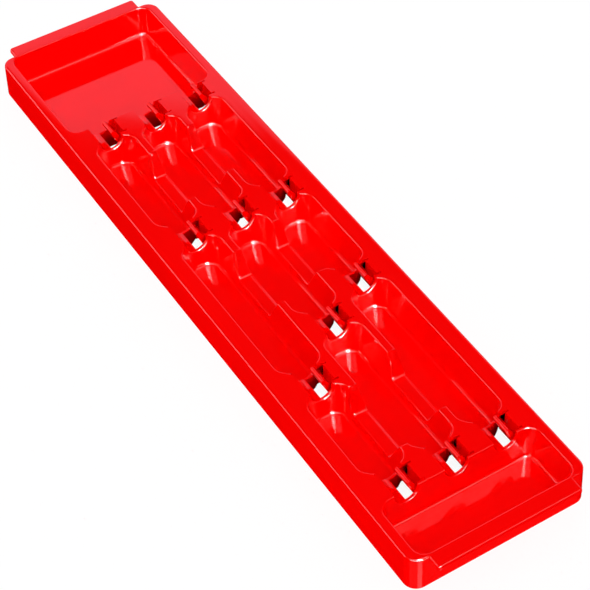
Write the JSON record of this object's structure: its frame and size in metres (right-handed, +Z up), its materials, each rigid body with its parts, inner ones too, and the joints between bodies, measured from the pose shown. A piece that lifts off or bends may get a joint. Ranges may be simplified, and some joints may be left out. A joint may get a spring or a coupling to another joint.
{
  "type": "ratchet and extension tray",
  "caption": "Long one-piece moulded drawer tray that clips ratchets and extensions by their shafts, with an open bin at each end.",
  "frame": {"origin": "middle of the underside, on the surface that the tray rests on", "axes": "+X across the tray, from the closed side of the saddles towards the springs; +Y along it, towards the deep bin; +Z up"},
  "size_m": [0.1072, 0.4638, 0.0244],
  "materials": {
    "tray": "gloss"
  },
  "bodies": {
    "root": {"tray": "tray"}
  },
  "joints": []
}
